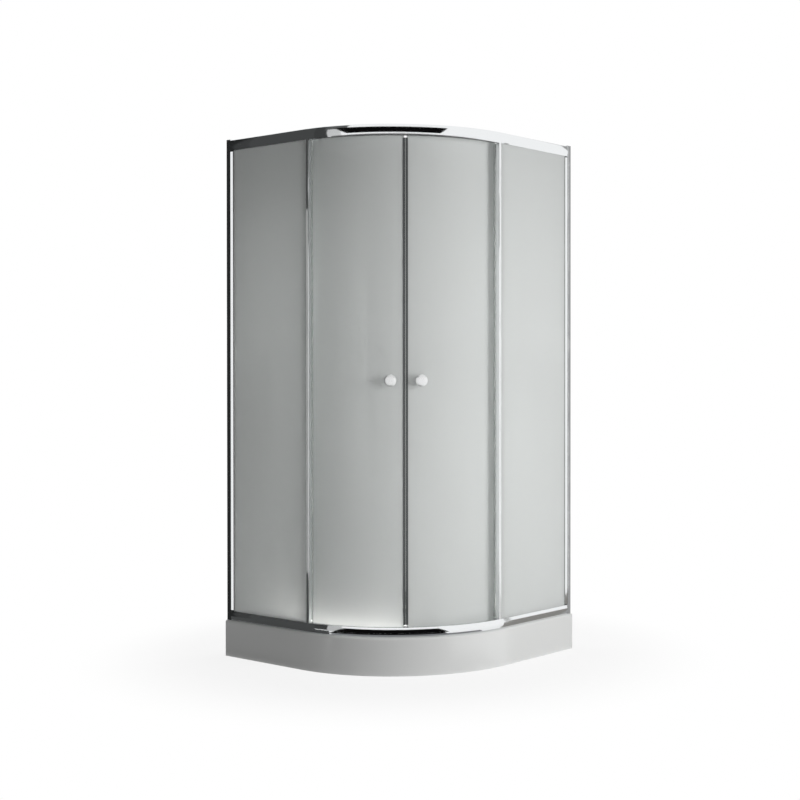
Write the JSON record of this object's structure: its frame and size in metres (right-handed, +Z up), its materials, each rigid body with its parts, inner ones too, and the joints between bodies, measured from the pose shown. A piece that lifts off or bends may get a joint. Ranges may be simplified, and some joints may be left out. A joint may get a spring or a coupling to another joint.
{
  "type": "quadrant shower enclosure",
  "caption": "Corner shower enclosure with a low quadrant tray, flat satin glass side panes, chrome frame and curved sliding doors that part in the middle on rollers, with round knobs.",
  "frame": {"origin": "Middle of the tray in plan, on the floor under its feet", "axes": "+Z is up. The walls are the planes at x = -0.45 m and y = +0.45 m, and the curved front faces +X and -Y"},
  "size_m": [0.9, 0.9, 1.87],
  "materials": {
    "acrylic": "polished white acrylic sheet",
    "board": "raw chipboard sealed with resin",
    "steel": "galvanised grey steel tube",
    "zinc": "zinc-plated steel",
    "black_plastic": "moulded black plastic",
    "white_plastic": "moulded white plastic",
    "chrome": "bright chrome-plated aluminium",
    "satin_glass": "toughened glass with a satin-etched face",
    "clear_seal": "translucent soft vinyl",
    "dark_seal": "dark grey rubber",
    "magnet": "grey vinyl strip over a magnet",
    "nylon": "white nylon"
  },
  "bodies": {
    "enclosure": {"tray": "acrylic", "front_panel": "acrylic", "base_board": "board", "support_frame": "steel", "foot_pads": "black_plastic", "foot_rods": "zinc", "foot_nuts": "zinc", "frame_screws": "zinc", "waste_trap": "white_plastic", "waste_seal": "dark_seal", "waste_flange": "chrome", "waste_cup": "white_plastic", "waste_cover": "chrome", "top_rail": "chrome", "bottom_rail": "chrome", "slot_strip": "clear_seal", "corner_blocks": "black_plastic", "rail_screws": "zinc", "adjusting_screws": "zinc", "wall_profile_right": "chrome", "side_profile_right": "chrome", "profile_cap_right": "chrome", "fixed_glass_right": "satin_glass", "glazing_gasket_right": "clear_seal", "post_right": "chrome", "post_seal_right": "clear_seal", "door_stop_right": "dark_seal", "wall_profile_left": "chrome", "side_profile_left": "chrome", "profile_cap_left": "chrome", "fixed_glass_left": "satin_glass", "glazing_gasket_left": "clear_seal", "post_left": "chrome", "post_seal_left": "clear_seal", "door_stop_left": "dark_seal"},
    "door_right": {"door_glass_right": "satin_glass", "magnet_seal_right": "magnet", "trailing_seal_right": "clear_seal", "roller_pins_right": "zinc", "roller_nuts_right": "chrome", "knob_outer_right": "chrome", "knob_inner_right": "chrome", "knob_screw_right": "zinc"},
    "door_left": {"door_glass_left": "satin_glass", "magnet_seal_left": "magnet", "trailing_seal_left": "clear_seal", "roller_pins_left": "zinc", "roller_nuts_left": "chrome", "knob_outer_left": "chrome", "knob_inner_left": "chrome", "knob_screw_left": "zinc"},
    "wheel_top_lead_right_body": {"wheel_top_lead_right": "nylon"},
    "wheel_top_trail_right_body": {"wheel_top_trail_right": "nylon"},
    "wheel_low_lead_right_body": {"wheel_low_lead_right": "nylon"},
    "wheel_low_trail_right_body": {"wheel_low_trail_right": "nylon"},
    "wheel_top_lead_left_body": {"wheel_top_lead_left": "nylon"},
    "wheel_top_trail_left_body": {"wheel_top_trail_left": "nylon"},
    "wheel_low_lead_left_body": {"wheel_low_lead_left": "nylon"},
    "wheel_low_trail_left_body": {"wheel_low_trail_left": "nylon"}
  },
  "joints": [
    {"name": "door_right_travel", "type": "hinge", "parent": "enclosure", "child": "door_right", "pos_m": [-0.1907, 0.1161, 1], "axis": [0, 0, 1], "range_deg": [0, 18.9]},
    {"name": "door_left_travel", "type": "hinge", "parent": "enclosure", "child": "door_left", "pos_m": [-0.1161, 0.1907, 1], "axis": [0, 0, -1], "range_deg": [0, 18.9]},
    {"name": "wheel_top_lead_right_spin", "type": "hinge", "parent": "door_right", "child": "wheel_top_lead_right_body", "pos_m": [0.30889, -0.25115, 1.8468], "axis": [0.766, -0.6428, 0], "continuous": true},
    {"name": "wheel_top_trail_right_spin", "type": "hinge", "parent": "door_right", "child": "wheel_top_trail_right_body", "pos_m": [0.41805, 0.02956, 1.8468], "axis": [0.999, -0.0436, 0], "continuous": true},
    {"name": "wheel_low_lead_right_spin", "type": "hinge", "parent": "door_right", "child": "wheel_low_lead_right_body", "pos_m": [0.30889, -0.25115, 0.1408], "axis": [0.766, -0.6428, 0], "continuous": true},
    {"name": "wheel_low_trail_right_spin", "type": "hinge", "parent": "door_right", "child": "wheel_low_trail_right_body", "pos_m": [0.41805, 0.02956, 0.1408], "axis": [0.999, -0.0436, 0], "continuous": true},
    {"name": "wheel_top_lead_left_spin", "type": "hinge", "parent": "door_left", "child": "wheel_top_lead_left_body", "pos_m": [0.25115, -0.30889, 1.8468], "axis": [0.6428, -0.766, 0], "continuous": true},
    {"name": "wheel_top_trail_left_spin", "type": "hinge", "parent": "door_left", "child": "wheel_top_trail_left_body", "pos_m": [-0.02956, -0.41805, 1.8468], "axis": [0.0436, -0.999, 0], "continuous": true},
    {"name": "wheel_low_lead_left_spin", "type": "hinge", "parent": "door_left", "child": "wheel_low_lead_left_body", "pos_m": [0.25115, -0.30889, 0.1408], "axis": [0.6428, -0.766, 0], "continuous": true},
    {"name": "wheel_low_trail_left_spin", "type": "hinge", "parent": "door_left", "child": "wheel_low_trail_left_body", "pos_m": [-0.02956, -0.41805, 0.1408], "axis": [0.0436, -0.999, 0], "continuous": true}
  ],
  "couplings": [
    {"joint": "wheel_top_lead_right_spin", "follows": "door_right_travel", "ratio": -62.005},
    {"joint": "wheel_top_trail_right_spin", "follows": "door_right_travel", "ratio": -61.487},
    {"joint": "wheel_low_lead_right_spin", "follows": "door_right_travel", "ratio": -68.894},
    {"joint": "wheel_low_trail_right_spin", "follows": "door_right_travel", "ratio": -68.319},
    {"joint": "wheel_top_lead_left_spin", "follows": "door_left_travel", "ratio": 62.005},
    {"joint": "wheel_top_trail_left_spin", "follows": "door_left_travel", "ratio": 61.487},
    {"joint": "wheel_low_lead_left_spin", "follows": "door_left_travel", "ratio": 68.894},
    {"joint": "wheel_low_trail_left_spin", "follows": "door_left_travel", "ratio": 68.319}
  ]
}
